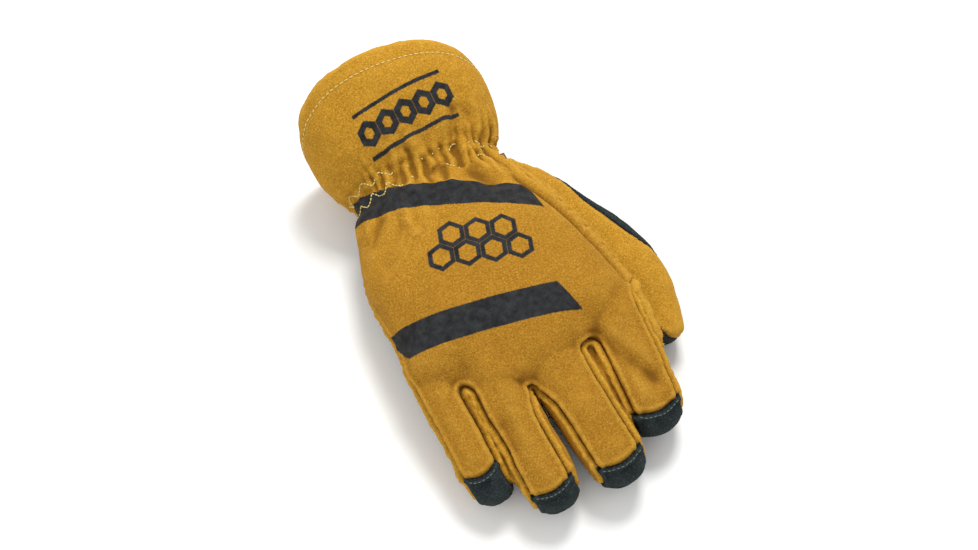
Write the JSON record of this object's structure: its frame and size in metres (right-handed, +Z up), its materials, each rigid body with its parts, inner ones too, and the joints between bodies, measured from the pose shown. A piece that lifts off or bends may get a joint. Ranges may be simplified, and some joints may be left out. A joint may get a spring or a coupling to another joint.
{
  "type": "firefighter glove",
  "caption": "Right-hand leather firefighting glove lying palm down: suede back and flared cuff gathered at the wrist, dark palm and fingertips, hollow throughout.",
  "frame": {"origin": "middle of the palm's flat underside, which lies on the ground", "axes": "+Z up from the ground through the back of the hand, +Y towards the cuff's opening, +X towards the thumb"},
  "size_m": [0.1602, 0.2734, 0.086],
  "materials": {
    "suede": "gold split cowhide suede, matt, brushed nap",
    "suede_flesh": "inner side of the split cowhide, matt",
    "dark_leather": "blue-black napped goatskin, matt",
    "webbing": "dark olive woven webbing"
  },
  "bodies": {
    "root": {"back_panel": "suede", "palm_panel": "dark_leather", "cuff_palm": "suede", "cuff_hem": "suede_flesh", "fingertip_little": "dark_leather", "fingertip_ring": "dark_leather", "fingertip_middle": "dark_leather", "fingertip_index": "dark_leather", "side_strip_little": "suede", "fourchette_little_ring": "suede", "fourchette_ring_middle": "suede", "fourchette_middle_index": "suede", "side_strip_index": "suede", "thumb_back": "suede", "thumb_palm": "dark_leather", "wrist_loop": "webbing"}
  },
  "joints": []
}
